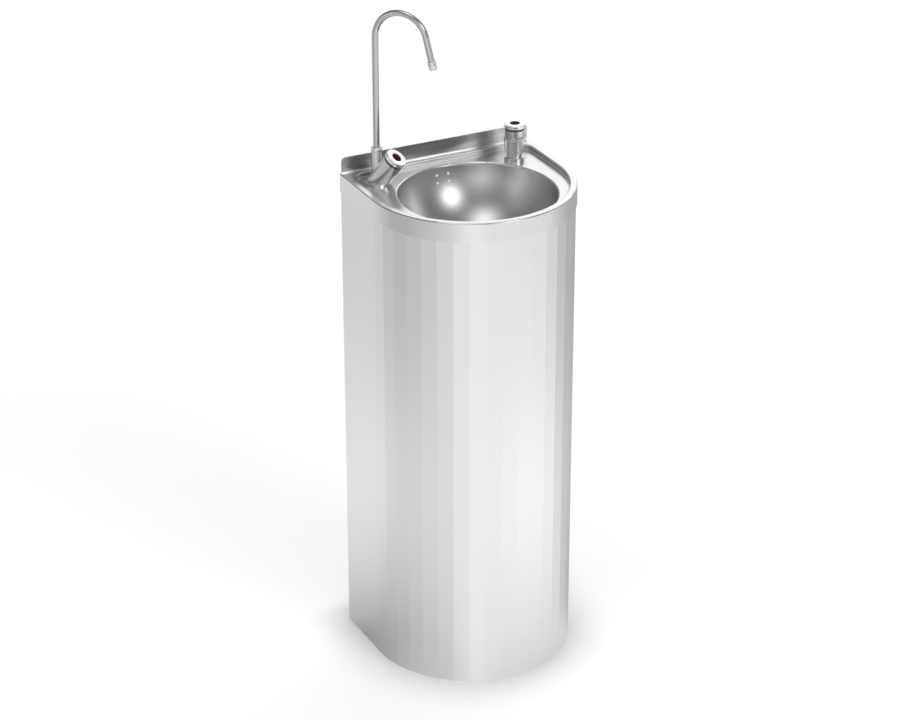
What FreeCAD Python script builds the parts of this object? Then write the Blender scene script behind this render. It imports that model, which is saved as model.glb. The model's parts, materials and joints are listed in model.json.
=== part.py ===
import FreeCAD, Part
import math
import os
import re
import Sketcher

# Floor-standing drinking fountain, to be set against a wall.
# Millimetres, +Z up, origin on the floor at the middle of the footprint, wall at +Y.
# A size that starts with = follows another size in the sheet.

SIZES = {
    # cabinet
    "width": 360, "depth": 310, "rim_height": 872, "upstand": 28, "metal": 1.5,
    "skirt": 34, "sheet_gap": 0.3, "facets": 20, "return_width": 30,
    "upstand_inset": 3, "upstand_corner": 8,
    "wall_hole_span": 600, "wall_hole_low": 150, "wall_hole_edge": 18, "wall_hole_radius": 4.5,
    "brace_height": 40, "brace_flange": 15, "brace_high": "=rim_height - 212",
    "brace_low": "=rim_height - 472",
    # base frame on the floor
    "base_plate": 3, "base_ring": 45, "anchor_x": 150, "anchor_front": 25, "anchor_back": 115,
    "anchor_radius": 5,
    # recessed deck
    "rim_flat": 13, "recess_depth": 9, "back_ledge": 11, "recess_corner": 32,
    "rim_round": 2.5, "pan_round": 1,
    # bowl
    "bowl_radius": 134, "bowl_depth": 117, "bowl_forward": 4, "lip_round": 2.8, "bowl_flange": 8,
    "drain_recess": 31, "drain_hole": 21.5,
    "overflow_radius": 2.3, "overflow_across": 22, "overflow_up": 13, "overflow_drop": 16,
    # overflow fitting behind the bowl
    "collar_reach": 18, "collar_wall": 2, "overflow_hose": 8, "overflow_bore": 6,
    "overflow_setback": 8, "overflow_stub": 12, "collar_overlap": 24, "collar_clear": 1.2,
    # waste and trap
    "strainer_flange": 30, "strainer_neck": 21, "strainer_plate": 1.5, "waste_wall": 3,
    "waste_length": 45, "gasket": 3, "tail_radius": 16, "tail_bore": 14, "tail_length": 105,
    "trap_radius": 30, "trap_length": 90, "trap_wall": 2.5, "trap_top": "=rim_height - 282", "trap_cup": 35,
    "waste_height": "=rim_height - 312", "waste_step": 30, "waste_end": 20, "nut_wall": 4, "nut_length": 16,
    "waste_stub": 26, "waste_taper": 6, "tail_socket": 18, "sieve_hole": 2.2, "sieve_inner": 8.5,
    "sieve_outer": 15, "screw_slot": 1.2, "trap_stub": 22,
    # push valve heads, the same on both taps
    "cap_radius": 18.5, "cap_height": 6.5, "cap_plate": 2.5, "cap_bore": 17.3, "cap_round": 0.8,
    "dot_radius": 8.7, "dot_sink": 0.8, "ring_radius": 17, "ring_bore": 14, "ring_height": 3.8,
    "push_play": 0.2, "stem_radius": 3, "cartridge_radius": 10.9,
    "cartridge_length": 24, "cartridge_sink": 2, "running_gap": 0.05,
    "spring_radius": 6, "spring_wire": 0.6, "spring_turns": 4,
    # bubbler
    "bubbler_x": 122, "bubbler_y": 96, "bubbler_seat": 57, "neck_radius": 16.6, "foot_radius": 17.5,
    "foot_height": 8, "column_radius": 13.5, "neck_height": 16, "tap_tail": 8, "tap_tail_length": 55,
    "water_bore": 3.5, "guard_radius": 18.5, "guard_height": 45, "guard_low": 10, "guard_collar": 33,
    "guard_u": 17, "guard_heading": -128, "nozzle_height": 36, "nozzle_radius": 3.2,
    "nozzle_bore": 1.5, "nozzle_reach": 20, "nozzle_tilt": 20,
    # bottle filler tap and its swan neck
    "filler_x": -131.5, "filler_y": 111, "filler_heading": -51, "filler_tilt": 36,
    "barrel_radius": 18, "filler_seat": 53, "filler_foot": 22.5, "filler_foot_height": 4,
    "sleeve_radius": 8.75, "sleeve_top": 56, "sleeve_bore_start": 32, "neck_tube": 5.5,
    "neck_bore": 4.3, "neck_rise": 259, "neck_bend": 46.5, "neck_turn": 166, "neck_drop": 48.5,
    "collar_nut": 9.25, "collar_nut_height": 9, "seal_height": 2.5, "seal_radius": 7.6,
    "outlet_radius": 7, "outlet_length": 15, "outlet_lap": 8, "outlet_bore": 3.5,
    # fixing under the deck
    "tap_gasket": 16.5, "tap_gasket_height": 2, "locknut_flats": 24, "locknut_height": 8,
    # water supply
    "supply_x": 95, "supply_y": 112, "supply_height": "=rim_height - 252", "supply_pipe": 10.5,
    "valve_radius": 14, "tee_stub": 14, "tee_lap": 8,
    "valve_length": 36, "outlet_stub": 8, "outlet_stub_length": 30, "tee_size": 26,
    "hose_radius": 6, "hose_bore": 4, "hose_nut_height": 14, "hose_nut_flats": 20,
    "lever_length": 48, "lever_width": 12, "lever_plate": 4, "lever_stem": 4, "lever_hub": 9,
    "screw_radius": 2.5, "screw_head": 4.5, "screw_head_height": 2,
}

doc = FreeCAD.newDocument("DrinkingFountain")
sheet = doc.addObject("Spreadsheet::Sheet", "Sizes")
for row, (alias, number) in enumerate(SIZES.items(), start=1):
    sheet.set("A%d" % row, alias)
    sheet.set("B%d" % row, str(number))
    sheet.setAlias("B%d" % row, alias)
doc.recompute()

NODES = []
UPRIGHT = FreeCAD.Rotation()
ORIGIN = ("0", "0", "0")
# A sketch begins as a small regular polygon here, and its constraints then move the corners.
START_X = 50
START_RADIUS = 9


def size(alias):
    """The number that the sheet holds for one driving dimension."""
    return float(sheet.get(alias))


def formula(text):
    """Turns plain size names into references to the sheet."""
    return re.sub(r"[a-z]\w*", lambda m: "Sizes." + m[0] if m[0] in SIZES else m[0], text)


def place(thing, at, turn=UPRIGHT):
    thing.Placement = FreeCAD.Placement(FreeCAD.Vector(0, 0, 0), turn)
    for axis, text in zip("xyz", at):
        thing.setExpression("Placement.Base." + axis, formula(text))
    return thing


def primitive(kind, at=ORIGIN, turn=UPRIGHT, **bound):
    thing = doc.addObject("Part::" + kind, kind)
    for prop, text in bound.items():
        thing.setExpression(prop, formula(text))
    return place(thing, at, turn)


def box(length, width, height, at, turn=UPRIGHT):
    return primitive("Box", at, turn, Length=length, Width=width, Height=height)


def cylinder(radius, height, at=ORIGIN, turn=UPRIGHT):
    return primitive("Cylinder", at, turn, Radius=radius, Height=height)


def hexagon(flats, height, at=ORIGIN, turn=UPRIGHT):
    nut = primitive("Prism", at, turn, Circumradius="(%s)/2/cos(30)" % flats, Height=height)
    nut.Polygon = 6
    return nut


def fuse(things, at=ORIGIN, turn=UPRIGHT, refine=True):
    joined = doc.addObject("Part::MultiFuse", "Fuse")
    joined.Shapes = things
    joined.Refine = refine
    return place(joined, at, turn)


def cut(base, tools, at=ORIGIN, turn=UPRIGHT):
    left = doc.addObject("Part::Cut", "Cut")
    left.Base = base
    left.Tool = tools[0] if len(tools) == 1 else fuse(tools)
    left.Refine = True
    return place(left, at, turn)


def common(things, at=ORIGIN, turn=UPRIGHT):
    both = doc.addObject("Part::MultiCommon", "Common")
    both.Shapes = things
    return place(both, at, turn)


def node(thing, label):
    """Names a finished sub-part and puts it on the list to be written."""
    thing.Label = label
    NODES.append(thing)
    return thing


def outline(body, role, corners):
    """A closed sketch on one of the body's own planes, each corner held by two sizes."""
    plane = [p for p in body.Origin.OriginFeatures if p.Role == role][0]
    sketch = body.newObject("Sketcher::SketchObject", "Outline")
    sketch.AttachmentSupport = [(plane, "")]
    sketch.MapMode = "FlatFace"
    count = len(corners)
    turns = [2 * math.pi * k / count for k in range(count)]
    start = [FreeCAD.Vector(START_X + START_RADIUS * math.cos(turn), START_RADIUS * math.sin(turn), 0)
             for turn in turns]
    for k in range(count):
        sketch.addGeometry(Part.LineSegment(start[k], start[(k + 1) % count]), False)
    for k in range(count):
        sketch.addConstraint(Sketcher.Constraint("Coincident", k, 2, (k + 1) % count, 1))
    for k, corner in enumerate(corners):
        for kind, text in zip(("DistanceX", "DistanceY"), corner):
            at = start[k].x if kind == "DistanceX" else start[k].y
            index = sketch.addConstraint(Sketcher.Constraint(kind, -1, 1, k, 1, at))
            sketch.setExpression("Constraints[%d]" % index, formula(text))
    return sketch


def turned(label, profile, at=ORIGIN, turn=UPRIGHT):
    """A body turned about its own Z axis from (radius, height) corners."""
    body = doc.addObject("PartDesign::Body", "Body")
    sketch = outline(body, "XZ_Plane", profile)
    round_about = body.newObject("PartDesign::Revolution", "Turned")
    round_about.Profile = sketch
    round_about.ReferenceAxis = (sketch, ["V_Axis"])
    round_about.Angle = 360
    body.Tip = round_about
    place(body, at, turn)
    return node(body, label) if label else body


def ring(label, outer, inner, height, at=ORIGIN, turn=UPRIGHT):
    profile = [(inner, "0"), (outer, "0"), (outer, height), (inner, height)]
    return turned(label, profile, at, turn)


def round_edges(base, radius, picks):
    """Rounds the edges of a shape that a test picks out."""
    doc.recompute()
    filleted = doc.addObject("Part::Fillet", "Fillet")
    filleted.Base = base
    edges = base.Shape.Edges
    filleted.Edges = [(k + 1, size(radius), size(radius)) for k, e in enumerate(edges) if picks(e)]
    return filleted


def rounded_path(points):
    """Straight runs joined by tangent arcs as large as the runs beside them allow."""
    points = [FreeCAD.Vector(*p) for p in points]
    edges = []
    begin = points[0]
    for before, corner, after in zip(points, points[1:], points[2:]):
        back = (before - corner).normalize()
        ahead = (after - corner).normalize()
        half_turn = (math.pi - back.getAngle(ahead)) / 2
        reach = 0.45 * min((before - corner).Length, (after - corner).Length)
        radius = reach / math.tan(half_turn)
        first = corner + back * reach
        last = corner + ahead * reach
        centre = corner + (back + ahead).normalize() * (radius / math.cos(half_turn))
        middle = centre + (corner - centre).normalize() * radius
        edges.append(Part.LineSegment(begin, first).toShape())
        edges.append(Part.Arc(first, middle, last).toShape())
        begin = last
    edges.append(Part.LineSegment(begin, points[-1]).toShape())
    return Part.Wire(edges)


def swept(path, radius):
    edge = path.Edges[0]
    begin = edge.FirstParameter
    section = Part.Circle(edge.valueAt(begin), edge.tangentAt(begin), radius)
    return path.makePipeShell([Part.Wire(section.toShape())], True, False)


def tube(label, path, radius, bore):
    """A round tube along a path of lines and arcs."""
    hose = doc.addObject("Part::Feature", "Tube")
    hose.Shape = swept(path, radius).cut(swept(path, bore))
    expected = math.pi * (radius ** 2 - bore ** 2) * path.Length
    if abs(hose.Shape.Volume - expected) > 0.01 * expected:
        raise ValueError("%s has the wrong volume" % label)
    return node(hose, label)


# Places used again and again, as formulas on the sheet.
WALL = "(depth/2)"
NOSE = "(width/2 - depth/2)"
DECK = "(rim_height - recess_depth)"
LIP = "(rim_height - recess_depth - lip_round - metal)"
BOWL_Y = "(-bowl_forward)"
DISH = "((bowl_radius^2 + bowl_depth^2)/(2*bowl_depth))"
DISH_Z = "(%s - bowl_depth + %s)" % (LIP, DISH)
BOWL_FLOOR = "(%s - bowl_depth)" % LIP
SHELL = "(width/2 - metal - sheet_gap)"
UNDER_DECK = "(%s - metal)" % DECK
SCREW_X = "(%s - return_width/2 + 2)" % SHELL

TO_WALL = FreeCAD.Rotation(FreeCAD.Vector(1, 0, 0), -90)
TO_FRONT = FreeCAD.Rotation(FreeCAD.Vector(1, 0, 0), 90)
TO_RIGHT = FreeCAD.Rotation(FreeCAD.Vector(0, 1, 0), 90)
TO_LEFT = FreeCAD.Rotation(FreeCAD.Vector(0, 1, 0), -90)

deck_z = size("rim_height") - size("recess_depth")
heading = math.radians(size("filler_heading"))
LEAN = FreeCAD.Rotation(FreeCAD.Vector(-math.sin(heading), math.cos(heading), 0), size("filler_tilt"))


def half_cylinder(radius, height, low):
    """The half-round front of the footprint."""
    front = cylinder(radius, height, ("0", NOSE, low), FreeCAD.Rotation(FreeCAD.Vector(0, 0, 1), 180))
    front.Angle = 180
    return front


def dee(inset, low, height, wall_inset="0"):
    """The footprint: straight sides against the wall and a half-round front."""
    square = box("width - 2*(%s)" % inset, "%s - %s - (%s)" % (WALL, NOSE, wall_inset), height,
                 ("-width/2 + (%s)" % inset, NOSE, low))
    front = half_cylinder("width/2 - (%s)" % inset, height, low)
    return fuse([square, front])


def pan(grow, low, height):
    """The recess outline, with rounded back corners, grown by a wall."""
    half = "(width/2 - rim_flat + %s)" % grow
    back = "(%s - back_ledge + %s)" % (WALL, grow)
    corner = "(recess_corner + %s)" % grow
    wide = box("2*%s" % half, "%s - %s - %s" % (back, corner, NOSE), height, ("-" + half, NOSE, low))
    narrow = box("2*(%s - %s)" % (half, corner), "%s - %s" % (back, NOSE), height,
                 ("-(%s - %s)" % (half, corner), NOSE, low))
    corners = [cylinder(corner, height, ("%s(%s - %s)" % (side, half, corner),
                                         "%s - %s" % (back, corner), low)) for side in ("", "-")]
    front = half_cylinder(half, height, low)
    return fuse([wide, narrow, front] + corners)


def at_height(height, edge):
    return edge.BoundBox.ZLength < 0.01 and abs(edge.BoundBox.ZMin - height) < 0.01


def make_deck():
    """Pressed top: skirt over the cabinet, flat rim, recessed pan and an upstand at the wall."""
    outer = dee("0", "rim_height - skirt", "skirt")
    hollow = cut(dee("metal", "rim_height - skirt - 1", "skirt + 1 - metal", "-1"),
                 [pan("metal", "%s - metal" % DECK, "recess_depth + 2*metal")])
    sheet_form = cut(outer, [hollow, pan("0", DECK, "recess_depth + 1")])
    lip = cylinder("bowl_radius + lip_round + 1", "lip_round + metal", ("0", BOWL_Y, LIP))
    mouth = cylinder("bowl_radius", "40", ("0", BOWL_Y, "%s - 5" % LIP))
    tap_holes = [cylinder("tap_tail + sheet_gap", "10", (x, y, "%s - 5" % DECK))
                 for x, y in (("bubbler_x", "bubbler_y"), ("filler_x", "filler_y"))]
    whole = cut(fuse([sheet_form, lip]), [mouth] + tap_holes)
    top = size("rim_height")

    def on_rim(edge):
        return at_height(top, edge) and edge.BoundBox.YMax < size("depth") / 2 - 1

    eased = round_edges(whole, "rim_round", on_rim)
    hole_radii = (size("bowl_radius"), size("tap_tail") + size("sheet_gap"))

    def is_hole(edge):
        return any(abs(getattr(edge.Curve, "Radius", 0) - radius) < 0.01 for radius in hole_radii)

    eased = round_edges(eased, "pan_round", lambda edge: at_height(deck_z, edge) and not is_hole(edge))

    def is_mouth(edge):
        return at_height(deck_z, edge) and abs(getattr(edge.Curve, "Radius", 0) - hole_radii[0]) < 0.01

    eased = round_edges(eased, "lip_round", is_mouth)
    high = "upstand + metal"
    foot = "rim_height - metal"
    wall_at = "%s - metal" % WALL
    span = "(width/2 - upstand_inset)"
    plates = [
        box("2*%s" % span, "metal", high + " - upstand_corner", ("-" + span, wall_at, foot)),
        box("2*(%s - upstand_corner)" % span, "metal", high,
            ("-(%s - upstand_corner)" % span, wall_at, foot)),
    ]
    plates += [cylinder("upstand_corner", "metal",
                        ("%s(%s - upstand_corner)" % (side, span), wall_at,
                         "rim_height + upstand - upstand_corner"), TO_WALL) for side in ("", "-")]
    node(fuse([eased] + plates), "deck_top")


def make_bowl():
    """Deep spherical dish with a pressed drain recess and four overflow holes at the back."""
    dish_wall = primitive("Sphere", ("0", BOWL_Y, DISH_Z), Radius="%s + metal" % DISH)
    drain_wall = cylinder("drain_recess + metal", "6", ("0", BOWL_Y, "%s - metal" % BOWL_FLOOR))
    below = box("3*bowl_radius", "3*bowl_radius", "2*bowl_depth",
                ("-1.5*bowl_radius", "-1.5*bowl_radius", "%s - 2*bowl_depth" % LIP))
    walls = common([fuse([dish_wall, drain_wall], refine=False), below])
    flange_at = ("0", BOWL_Y, "%s - metal" % LIP)
    flange = cut(cylinder("bowl_radius + bowl_flange", "metal", flange_at),
                 [cylinder("bowl_radius + metal/2", "metal", flange_at)])
    dish = primitive("Sphere", ("0", BOWL_Y, DISH_Z), Radius=DISH)
    recess = cylinder("drain_recess", "8", ("0", BOWL_Y, BOWL_FLOOR))
    drain = cylinder("drain_hole", "20", ("0", BOWL_Y, "%s - 10" % BOWL_FLOOR))
    holes = [cylinder("overflow_radius", "60",
                      ("%s overflow_across/2" % side, "%s + bowl_radius - 40" % BOWL_Y,
                       "%s - (%s)" % (DECK, drop)), TO_WALL)
             for side in ("-", "") for drop in ("overflow_drop", "overflow_drop + overflow_up")]
    node(fuse([cut(walls, [dish, recess, drain] + holes), flange]), "bowl")


def make_housing():
    """Cabinet sheet, step-bent into flat facets round the front, with returns at the wall."""
    facets = int(size("facets"))
    step = 180.0 / facets

    def run(radius, order):
        turns = [180 + step * k for k in order]
        return [("%s*cos(%r)" % (radius, turn), "%s + %s*sin(%r)" % (NOSE, radius, turn)) for turn in turns]

    inside = "(%s - metal)" % SHELL
    lip_at = "(%s - return_width)" % SHELL
    corners = [("-" + lip_at, WALL), ("-" + SHELL, WALL)]
    corners += run(SHELL, range(facets + 1))
    corners += [(SHELL, WALL), (lip_at, WALL), (lip_at, WALL + " - metal"), (inside, WALL + " - metal")]
    corners += run(inside, range(facets, -1, -1))
    corners += [("-" + inside, WALL + " - metal"), ("-" + lip_at, WALL + " - metal")]
    body = doc.addObject("PartDesign::Body", "Body")
    sketch = outline(body, "XY_Plane", corners)
    pad = body.newObject("PartDesign::Pad", "Sheet")
    pad.Profile = sketch
    pad.setExpression("Length", formula("rim_height - metal - sheet_gap"))
    body.Tip = pad
    holes = [cylinder("wall_hole_radius", "10",
                      ("%s(%s - wall_hole_edge)" % (side, SHELL), WALL + " - 5", up), TO_WALL)
             for side in ("", "-") for up in ("wall_hole_low", "wall_hole_low + wall_hole_span")]
    holes += [cylinder("screw_radius", "10",
                       (side + SCREW_X, WALL + " - 5", low + " + brace_height/2"), TO_WALL)
              for side in ("", "-") for low in ("brace_high", "brace_low")]
    node(cut(body, holes), "housing_shell")


def make_braces():
    """Folded channels that tie the two returns together behind the plumbing."""
    inner = "(%s - return_width)" % SHELL
    lap = "(return_width - metal - 4)"
    for label, low in (("upper_brace", "brace_high"), ("lower_brace", "brace_low")):
        web = box("2*(%s + %s)" % (inner, lap), "metal", "brace_height",
                  ("-(%s + %s)" % (inner, lap), WALL + " - 2*metal", low))
        flanges = [box("2*%s" % inner, "brace_flange", "metal",
                       ("-" + inner, WALL + " - 2*metal - brace_flange", up))
                   for up in (low, low + " + brace_height - metal")]
        holes = [cylinder("screw_radius", "10", (side + SCREW_X, WALL + " - 8", low + " + brace_height/2"),
                          TO_WALL) for side in ("", "-")]
        node(cut(fuse([web] + flanges), holes), label)


def make_brace_screws():
    """Four pan screws from inside through the braces, flush with the wall face."""
    screws = []
    for low in ("brace_high", "brace_low"):
        for side in ("", "-"):
            x = side + SCREW_X
            up = low + " + brace_height/2"
            head = cylinder("screw_head", "screw_head_height", (x, WALL + " - 2*metal", up), TO_FRONT)
            shank = cylinder("screw_radius", "2*metal", (x, WALL + " - 2*metal", up), TO_WALL)
            screws.append(fuse([head, shank]))
    group = doc.addObject("Part::Compound", "Screws")
    group.Links = screws
    node(group, "brace_screws")


def make_base():
    """Flat ring inside the cabinet that is bolted to the floor."""
    edge = "(metal*2 + sheet_gap*2 + 0.6)"
    plate = cut(dee(edge, "0", "base_plate", edge),
                [dee("%s + base_ring" % edge, "-1", "base_plate + 2", "%s + base_ring/2" % edge)])
    anchors = [cylinder("anchor_radius", "10", ("%s anchor_x" % side, y, "-5"))
               for side in ("", "-") for y in ("-anchor_front", "anchor_back")]
    node(cut(plate, anchors), "base_frame")


def make_waste():
    """Strainer, gasket, waste body, screw, tail pipe, bottle trap and outlet pipe."""
    axis = ("0", BOWL_Y, BOWL_FLOOR)
    plate = cylinder("strainer_flange", "strainer_plate", axis)
    neck = cut(cylinder("strainer_neck", "30", ("0", BOWL_Y, BOWL_FLOOR + " - 30")),
               [cylinder("strainer_neck - 1.5", "30", ("0", BOWL_Y, BOWL_FLOOR + " - 30"))])
    sieve = [cylinder("screw_radius + sheet_gap/2", "10", ("0", BOWL_Y, BOWL_FLOOR + " - 5"))]
    for count, radius in ((6, "sieve_inner"), (12, "sieve_outer")):
        for k in range(count):
            turn = 360.0 * k / count
            sieve.append(cylinder("sieve_hole", "10",
                                  ("%s*cos(%r)" % (radius, turn), "%s + %s*sin(%r)" % (BOWL_Y, radius, turn),
                                   BOWL_FLOOR + " - 5")))
    node(cut(fuse([plate, neck]), sieve), "waste_strainer")
    under = "(%s - metal)" % BOWL_FLOOR
    ring("waste_gasket", "drain_recess + metal - 1", "strainer_neck + sheet_gap", "gasket",
         ("0", BOWL_Y, under + " - gasket"))
    top = "(%s - gasket)" % under
    outer = "(strainer_neck + sheet_gap + waste_wall)"
    socket_end = "-waste_length - waste_taper - tail_socket"
    shell = turned(None, [
        ("strainer_neck + sheet_gap", "0"), ("drain_recess + metal - 1", "0"),
        ("drain_recess + metal - 1", "-waste_wall"), (outer, "-waste_wall"),
        (outer, "-waste_length"), ("tail_radius + sheet_gap + waste_wall", "-waste_length - waste_taper"),
        ("tail_radius + sheet_gap + waste_wall", socket_end),
        ("tail_radius + sheet_gap", socket_end), ("tail_radius + sheet_gap", "-waste_length - 4"),
        ("strainer_neck + sheet_gap", "-waste_length + 4")], ("0", BOWL_Y, top))
    bridge = box("2*(strainer_neck + sheet_gap + 1)", "8", "5",
                 ("-(strainer_neck + sheet_gap + 1)", BOWL_Y + " - 4", top + " - waste_length + 5"))
    spout_z = top + " - waste_length/2"
    spout = cylinder("overflow_hose + 2", "strainer_neck + waste_stub", ("0", BOWL_Y, spout_z), TO_WALL)
    bore = cylinder("overflow_bore", "strainer_neck + waste_stub + 4", ("0", BOWL_Y, spout_z), TO_WALL)
    clear = cylinder("strainer_neck + sheet_gap", "2*overflow_hose + 6",
                     ("0", BOWL_Y, spout_z + " - overflow_hose - 3"))
    tapped = cylinder("screw_radius", "20", ("0", BOWL_Y, top + " - waste_length"))
    arm = cut(spout, [clear])
    node(cut(fuse([shell, bridge, arm]), [bore, tapped]), "waste_body")
    length = "(metal + gasket + waste_length - 6)"
    screw_seat = BOWL_FLOOR + " + strainer_plate"
    screw = fuse([
        cylinder("screw_head", "screw_head_height", ("0", BOWL_Y, screw_seat)),
        cylinder("screw_radius", "%s + strainer_plate" % length,
                 ("0", BOWL_Y, "%s - %s" % (BOWL_FLOOR, length))),
    ])
    slot = box("2*screw_head + 2", "screw_slot", "2",
               ("-screw_head - 1", BOWL_Y + " - screw_slot/2", screw_seat + " + screw_head_height - 1"))
    node(cut(screw, [slot]), "strainer_screw")
    tail_top = "(%s - waste_length - waste_taper)" % top
    ring("tail_pipe", "tail_radius", "tail_bore", "tail_length",
         ("0", BOWL_Y, tail_top + " - tail_length"))
    grip = "(tail_radius + sheet_gap + waste_wall + sheet_gap)"
    seal = "tail_radius + sheet_gap"
    turned("tail_nut", [
        (grip, "0"), (grip + " + nut_wall", "0"), (grip + " + nut_wall", "-nut_length"),
        (seal, "-nut_length - 5"), (seal, "-nut_length - 1"), (grip, "-nut_length + 2")],
        ("0", BOWL_Y, tail_top + " - 5"))


def make_trap():
    """Bottle trap: body with side outlet, screwed cup, two compression nuts, pipe to the wall."""
    neck = "(tail_radius + sheet_gap + trap_wall)"
    shell = turned(None, [
        ("tail_radius + sheet_gap", "12"), (neck, "12"), (neck, "0"), ("trap_radius", "-4"),
        ("trap_radius", "-trap_length"), ("trap_radius - trap_wall", "-trap_length"),
        ("trap_radius - trap_wall", "-6"), ("tail_radius + sheet_gap", "-2")], ("0", BOWL_Y, "trap_top"))
    middle = ("0", BOWL_Y, "waste_height")
    arm = cylinder("tail_radius + trap_wall + sheet_gap", "trap_radius + trap_stub", middle, TO_WALL)
    arm_bore = cylinder("tail_radius + sheet_gap", "trap_radius + trap_stub + 2", middle, TO_WALL)
    clear = cylinder("trap_radius - trap_wall", "60", ("0", BOWL_Y, "waste_height - 30"))
    node(cut(fuse([shell, cut(arm, [clear])]), [arm_bore]), "trap_body")
    cup = "(trap_radius + sheet_gap)"
    turned("trap_cup", [
        ("0", "-trap_cup"), ("trap_radius - 8", "-trap_cup"), (cup + " + trap_wall", "-trap_cup + 9"),
        (cup + " + trap_wall", "14"), (cup, "14"), (cup, "-trap_cup + 10"), ("0", "-trap_cup + 3")],
        ("0", BOWL_Y, "trap_top - trap_length"))
    inner = "(%s + sheet_gap)" % neck
    turned("trap_inlet_nut", [
        (inner, "1"), (inner + " + nut_wall", "1"), (inner + " + nut_wall", "nut_length"),
        ("tail_radius + sheet_gap", "nut_length + 4"), ("tail_radius + sheet_gap", "nut_length"),
        (inner, "nut_length - 2")], ("0", BOWL_Y, "trap_top"))
    turned("trap_outlet_nut", [
        (inner, "0"), (inner + " + nut_wall", "0"), (inner + " + nut_wall", "nut_length"),
        ("tail_radius + sheet_gap", "nut_length + 4"), ("tail_radius + sheet_gap", "nut_length"),
        (inner, "nut_length - 2")], ("0", BOWL_Y + " + trap_radius + 9", "waste_height"), TO_WALL)
    reach = "(%s + bowl_forward - trap_radius - 6)" % WALL
    turned("waste_pipe", [
        ("tail_bore", "0"), ("tail_radius", "0"), ("tail_radius", "waste_step"),
        ("waste_end", "waste_step + 6"), ("waste_end", reach), ("waste_end - 2", reach),
        ("waste_end - 2", "waste_step + 6"), ("tail_bore", "waste_step")],
        ("0", BOWL_Y + " + trap_radius + 6", "waste_height"), TO_WALL)


def make_overflow():
    """White box clamped over the overflow holes, its seal, and a stub for the hose to the waste."""
    centre = "(%s - overflow_drop - overflow_up/2)" % DECK
    half_wide = "(overflow_across/2 + overflow_radius + collar_clear + collar_wall)"
    half_tall = "(overflow_up/2 + overflow_radius + collar_clear + collar_wall)"
    start = "(%s + bowl_radius - collar_overlap)" % BOWL_Y
    deep = "(collar_overlap + collar_reach)"

    def block(inset, length):
        return box("2*(%s - %s)" % (half_wide, inset), length, "2*(%s - %s)" % (half_tall, inset),
                   ("-(%s - %s)" % (half_wide, inset), start, "%s - %s + %s" % (centre, half_tall, inset)))

    stub_at = "(%s + bowl_radius + overflow_setback)" % BOWL_Y
    stub = cylinder("overflow_hose", "%s + overflow_stub" % half_tall,
                    ("0", stub_at, "%s - %s - overflow_stub" % (centre, half_tall)))
    stub_bore = cylinder("overflow_bore - 1", "%s + overflow_stub" % half_tall,
                         ("0", stub_at, "%s - %s - overflow_stub" % (centre, half_tall)))
    dish = primitive("Sphere", ("0", BOWL_Y, DISH_Z), Radius="%s + metal + gasket" % DISH)
    inside = block("collar_wall", deep + " - collar_wall")
    whole = cut(fuse([block("0", deep), stub]), [inside, stub_bore, dish])
    node(whole, "overflow_collar")
    frame = cut(block("0", deep), [block("collar_wall + 1", deep)])
    band = cut(primitive("Sphere", ("0", BOWL_Y, DISH_Z), Radius="%s + metal + gasket" % DISH),
               [primitive("Sphere", ("0", BOWL_Y, DISH_Z), Radius="%s + metal" % DISH)])
    node(common([frame, band]), "overflow_seal")


def make_head(prefix, seat, at, turn):
    """Self-closing push head: trim ring, cartridge, spring, cap with its stem, and index dot."""
    spot = FreeCAD.Rotation(turn)

    def along(text):
        lift = turn.multVec(FreeCAD.Vector(0, 0, 1))
        return tuple("%s + (%s)*(%r)" % (a, text, c) for a, c in zip(at, (lift.x, lift.y, lift.z)))

    ring(prefix + "_trim_ring", "ring_radius", "ring_bore", "ring_height", along(seat), spot)
    stem_hole = "stem_radius + running_gap"
    turned(prefix + "_cartridge", [
        (stem_hole, "0"), ("cartridge_radius - 1.5", "0"), ("cartridge_radius", "-2"),
        ("cartridge_radius", "-cartridge_length"), ("0", "-cartridge_length"),
        ("0", "-cartridge_length + 4"), (stem_hole, "-cartridge_length + 4")],
        along("%s - cartridge_sink" % seat), spot)
    top = "(ring_height + push_play + cap_height)"
    under = "(%s - cap_plate)" % top
    skirt = "ring_height + push_play"
    turned(prefix + "_button", [
        ("0", "-cartridge_sink - 14"), ("stem_radius", "-cartridge_sink - 14"), ("stem_radius", under),
        ("cap_bore", under), ("cap_bore", skirt), ("cap_radius", skirt),
        ("cap_radius", top + " - cap_round"), ("cap_radius - cap_round*0.3", top + " - cap_round*0.3"),
        ("cap_radius - cap_round", top), ("dot_radius", top), ("dot_radius", top + " - dot_sink"),
        ("0", top + " - dot_sink")], along(seat), spot)
    turned(prefix + "_index_dot", [
        ("0", "-dot_sink"), ("dot_radius - sheet_gap/3", "-dot_sink"), ("dot_radius - sheet_gap/3", "-0.1"),
        ("dot_radius - 0.5", "0.15"), ("0", "0.3")], along("%s + %s" % (seat, top)), spot)
    make_spring(prefix + "_spring", seat, under, along, spot)


def make_spring(label, seat, under, along, turn):
    """Coil spring between the cartridge and the cap."""
    helix = doc.addObject("Part::Helix", "Coil")
    helix.setExpression("Radius", formula("spring_radius"))
    helix.setExpression("Height", formula("cartridge_sink + %s - 2*spring_wire - 0.2" % under))
    helix.setExpression("Pitch", formula("(cartridge_sink + %s - 2*spring_wire - 0.2)/spring_turns" % under))
    section = doc.addObject("Part::Circle", "Wire")
    section.setExpression("Radius", formula("spring_wire"))
    place(section, ("spring_radius", "0", "0"), TO_FRONT)
    coil = doc.addObject("Part::Sweep", "Spring")
    coil.Sections = [section]
    coil.Spine = (helix, ["Edge1"])
    coil.Solid = True
    coil.Frenet = True
    place(coil, along("%s - cartridge_sink + spring_wire + 0.1" % seat), turn)
    node(coil, label)


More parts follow.
